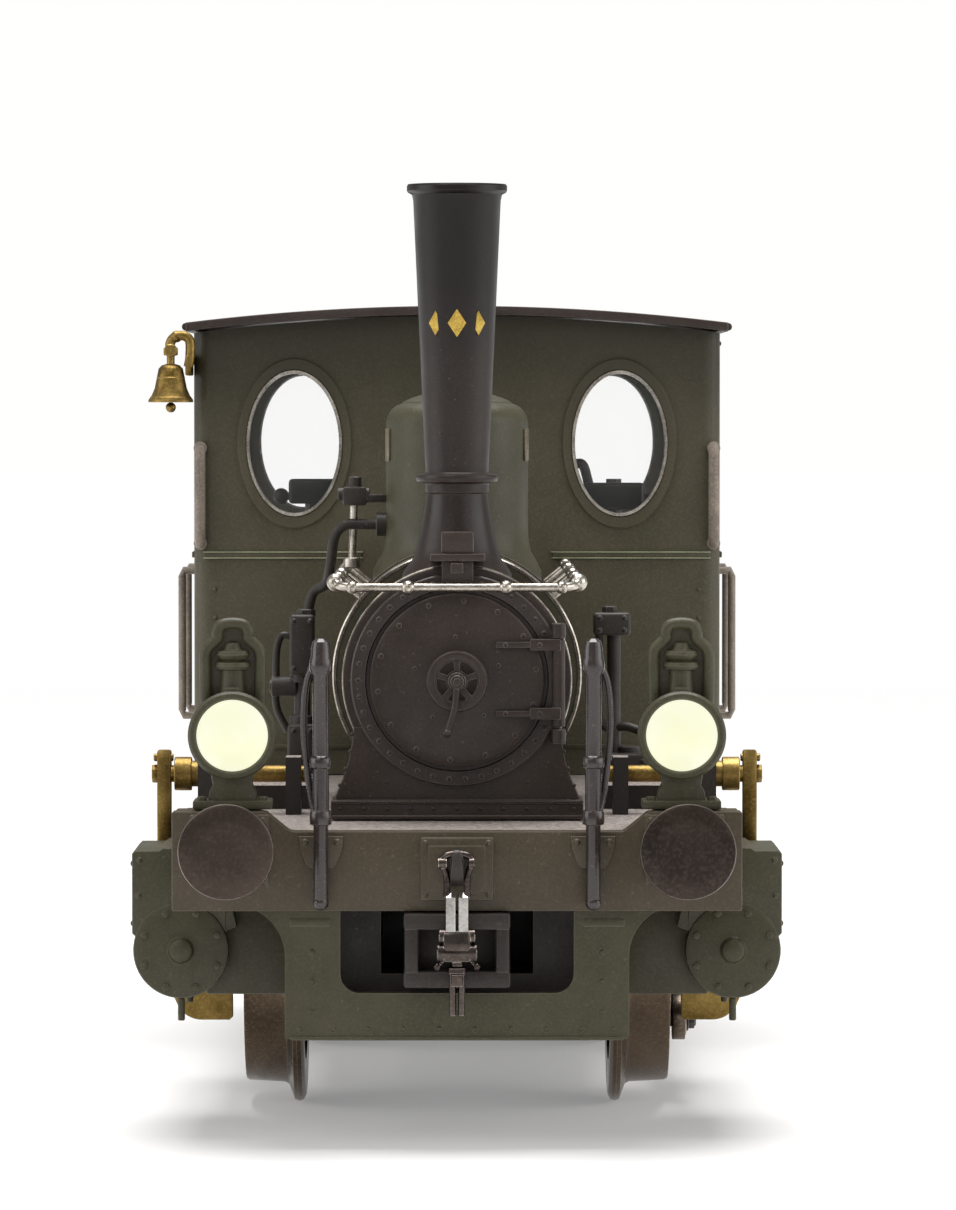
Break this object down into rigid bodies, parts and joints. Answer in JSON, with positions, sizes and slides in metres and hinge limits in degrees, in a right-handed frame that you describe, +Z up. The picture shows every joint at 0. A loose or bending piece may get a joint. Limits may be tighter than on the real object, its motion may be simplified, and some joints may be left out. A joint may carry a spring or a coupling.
{
  "type": "model tank locomotive",
  "caption": "Small 1:87 scale outside-cylinder tank locomotive with tall chimney, open cab, drum lamps and working rods.",
  "frame": {"origin": "track centre line at rail-head level, midway between the front and rear buffer faces", "axes": "+X to the right seen from the front, -Y towards the front (chimney end), +Z up"},
  "size_m": [0.0303, 0.079, 0.0431],
  "materials": {
    "olive_paint": "satin paint with a fine grain",
    "beam_paint": "satin paint",
    "smokebox_black": "satin brownish black",
    "blackened_steel": "chemically blackened",
    "frame_black": "satin black",
    "brass": "dull brass",
    "silver_wire": "bright wire",
    "steel": "worn steel",
    "buffer_steel": "dull browned steel",
    "lens": "clear pale yellow, lit from behind",
    "glass": "clear",
    "gear_plastic": "moulded",
    "motor_can": "plated",
    "board": "solder mask"
  },
  "bodies": {
    "root": {"chassis_frame": "frame_black", "keeper_plate": "frame_black", "footplate": "frame_black", "front_buffer_beam": "beam_paint", "rear_buffer_beam": "beam_paint", "pilot_plate": "olive_paint", "draw_hook": "frame_black", "cylinder_left": "olive_paint", "cylinder_right": "olive_paint", "slide_bars_left": "brass", "slide_bars_right": "brass", "smokebox": "smokebox_black", "boiler_barrel": "olive_paint", "chimney": "smokebox_black", "dome": "olive_paint", "cab_body": "olive_paint", "cab_roof": "smokebox_black", "cab_glazing": "glass", "backhead": "smokebox_black", "boiler_handrail": "silver_wire", "boiler_pipes_left": "frame_black", "boiler_pipes_right": "frame_black", "bell_bracket": "brass", "front_lamp_left": "olive_paint", "front_lamp_right": "olive_paint", "front_lens_left": "lens", "front_lens_right": "lens", "rear_lamp_left": "olive_paint", "rear_lamp_right": "olive_paint", "brake_hose_left": "smokebox_black", "brake_hose_right": "smokebox_black", "motor": "motor_can", "circuit_board": "board"},
    "front_wheelset": {"front_axle": "steel", "front_wheel_left": "steel", "front_wheel_right": "steel"},
    "rear_wheelset": {"rear_axle": "steel", "rear_wheel_left": "steel", "rear_wheel_right": "steel"},
    "coupling_rod_left_body": {"coupling_rod_left": "steel"},
    "connecting_rod_left_body": {"connecting_rod_left": "steel"},
    "crosshead_left_body": {"crosshead_left": "steel"},
    "rocker_left_body": {"rocker_left": "brass"},
    "coupling_rod_right_body": {"coupling_rod_right": "steel"},
    "connecting_rod_right_body": {"connecting_rod_right": "steel"},
    "crosshead_right_body": {"crosshead_right": "steel"},
    "rocker_right_body": {"rocker_right": "brass"},
    "idler_body": {"idler_gear": "gear_plastic"},
    "motor_shaft_body": {"motor_shaft": "steel"},
    "door_body": {"smokebox_door": "smokebox_black"},
    "handwheel_body": {"door_handwheel": "blackened_steel"},
    "lever_body": {"door_lever": "blackened_steel"},
    "buffer_front_left_body": {"buffer_front_left": "buffer_steel"},
    "buffer_front_right_body": {"buffer_front_right": "buffer_steel"},
    "coupler_front_body": {"coupler_pocket_front": "frame_black"},
    "buffer_rear_left_body": {"buffer_rear_left": "buffer_steel"},
    "buffer_rear_right_body": {"buffer_rear_right": "buffer_steel"},
    "coupler_rear_body": {"coupler_pocket_rear": "frame_black"},
    "screw_link_body": {"screw_link": "steel"},
    "bell_body": {"bell": "brass"}
  },
  "joints": [
    {"name": "front_wheel_spin", "type": "hinge", "parent": "root", "child": "front_wheelset", "pos_m": [0, -0.014, 0.00625], "axis": [1, 0, 0], "continuous": true},
    {"name": "rear_wheel_spin", "type": "hinge", "parent": "root", "child": "rear_wheelset", "pos_m": [0, 0.014, 0.00625], "axis": [1, 0, 0], "continuous": true},
    {"name": "coupling_rod_left_pivot", "type": "hinge", "parent": "front_wheelset", "child": "coupling_rod_left_body", "pos_m": [-0.01056, -0.01075, 0.00625], "axis": [1, 0, 0], "continuous": true},
    {"name": "connecting_rod_left_pivot", "type": "hinge", "parent": "rear_wheelset", "child": "connecting_rod_left_body", "pos_m": [-0.01152, 0.01725, 0.00625], "axis": [1, 0, 0], "continuous": true},
    {"name": "crosshead_left_slide", "type": "slide", "parent": "root", "child": "crosshead_left_body", "axis": [0, 0.9996, -0.0292], "range_m": [-0.00651, 0]},
    {"name": "rocker_left_swing", "type": "hinge", "parent": "root", "child": "rocker_left_body", "pos_m": [-0.01, -0.0219, 0.015], "axis": [1, 0, 0], "range_deg": [-8, 8]},
    {"name": "coupling_rod_right_pivot", "type": "hinge", "parent": "front_wheelset", "child": "coupling_rod_right_body", "pos_m": [0.01056, -0.014, 0.003], "axis": [1, 0, 0], "continuous": true},
    {"name": "connecting_rod_right_pivot", "type": "hinge", "parent": "rear_wheelset", "child": "connecting_rod_right_body", "pos_m": [0.01152, 0.014, 0.003], "axis": [1, 0, 0], "continuous": true},
    {"name": "crosshead_right_slide", "type": "slide", "parent": "root", "child": "crosshead_right_body", "axis": [0, 0.9996, -0.0292], "range_m": [-0.00358, 0.00292]},
    {"name": "rocker_right_swing", "type": "hinge", "parent": "root", "child": "rocker_right_body", "pos_m": [0.01, -0.0219, 0.015], "axis": [1, 0, 0], "range_deg": [-8, 8]},
    {"name": "idler_gear_spin", "type": "hinge", "parent": "root", "child": "idler_body", "pos_m": [0, 0.014, 0.01185], "axis": [1, 0, 0], "continuous": true},
    {"name": "motor_shaft_spin", "type": "hinge", "parent": "root", "child": "motor_shaft_body", "pos_m": [0, 0.005, 0.01715], "axis": [0, 1, 0], "continuous": true},
    {"name": "smokebox_door_swing", "type": "hinge", "parent": "root", "child": "door_body", "pos_m": [0.0046, -0.02735, 0.01955], "axis": [0, 0, 1], "range_deg": [0, 85]},
    {"name": "door_handwheel_turn", "type": "hinge", "parent": "door_body", "child": "handwheel_body", "pos_m": [0, -0.0285, 0.01955], "axis": [0, 1, 0], "continuous": true},
    {"name": "door_lever_turn", "type": "hinge", "parent": "door_body", "child": "lever_body", "pos_m": [0, -0.0291, 0.01955], "axis": [0, 1, 0], "range_deg": [-60, 60]},
    {"name": "buffer_front_left_press", "type": "slide", "parent": "root", "child": "buffer_front_left_body", "axis": [0, 1, 0], "range_m": [0, 0.0011], "stiffness_N_per_m": 150},
    {"name": "buffer_front_right_press", "type": "slide", "parent": "root", "child": "buffer_front_right_body", "axis": [0, 1, 0], "range_m": [0, 0.0011], "stiffness_N_per_m": 150},
    {"name": "coupler_front_swivel", "type": "hinge", "parent": "root", "child": "coupler_front_body", "pos_m": [0, -0.0265, 0.00795], "axis": [0, 0, 1], "range_deg": [-12, 12], "stiffness_Nm_per_rad": 0.0006},
    {"name": "buffer_rear_left_press", "type": "slide", "parent": "root", "child": "buffer_rear_left_body", "axis": [0, -1, 0], "range_m": [0, 0.0011], "stiffness_N_per_m": 150},
    {"name": "buffer_rear_right_press", "type": "slide", "parent": "root", "child": "buffer_rear_right_body", "axis": [0, -1, 0], "range_m": [0, 0.0011], "stiffness_N_per_m": 150},
    {"name": "coupler_rear_swivel", "type": "hinge", "parent": "root", "child": "coupler_rear_body", "pos_m": [0, 0.0265, 0.00795], "axis": [0, 0, 1], "range_deg": [-12, 12], "stiffness_Nm_per_rad": 0.0006},
    {"name": "screw_link_swing", "type": "hinge", "parent": "root", "child": "screw_link_body", "pos_m": [0, -0.03645, 0.0123], "axis": [1, 0, 0], "range_deg": [-55, 2]},
    {"name": "bell_swing", "type": "hinge", "parent": "root", "child": "bell_body", "pos_m": [-0.01455, 0.0074, 0.03483], "axis": [1, 0, 0], "range_deg": [-18, 18]}
  ],
  "couplings": [
    {"joint": "rear_wheel_spin", "follows": "front_wheel_spin", "ratio": 1},
    {"joint": "coupling_rod_left_pivot", "follows": "front_wheel_spin", "ratio": -1},
    {"joint": "connecting_rod_left_pivot", "follows": "front_wheel_spin", "ratio": -1},
    {"joint": "coupling_rod_right_pivot", "follows": "front_wheel_spin", "ratio": -1},
    {"joint": "connecting_rod_right_pivot", "follows": "front_wheel_spin", "ratio": -1},
    {"joint": "idler_gear_spin", "follows": "front_wheel_spin", "ratio": -0.75},
    {"joint": "motor_shaft_spin", "follows": "front_wheel_spin", "ratio": 12}
  ]
}
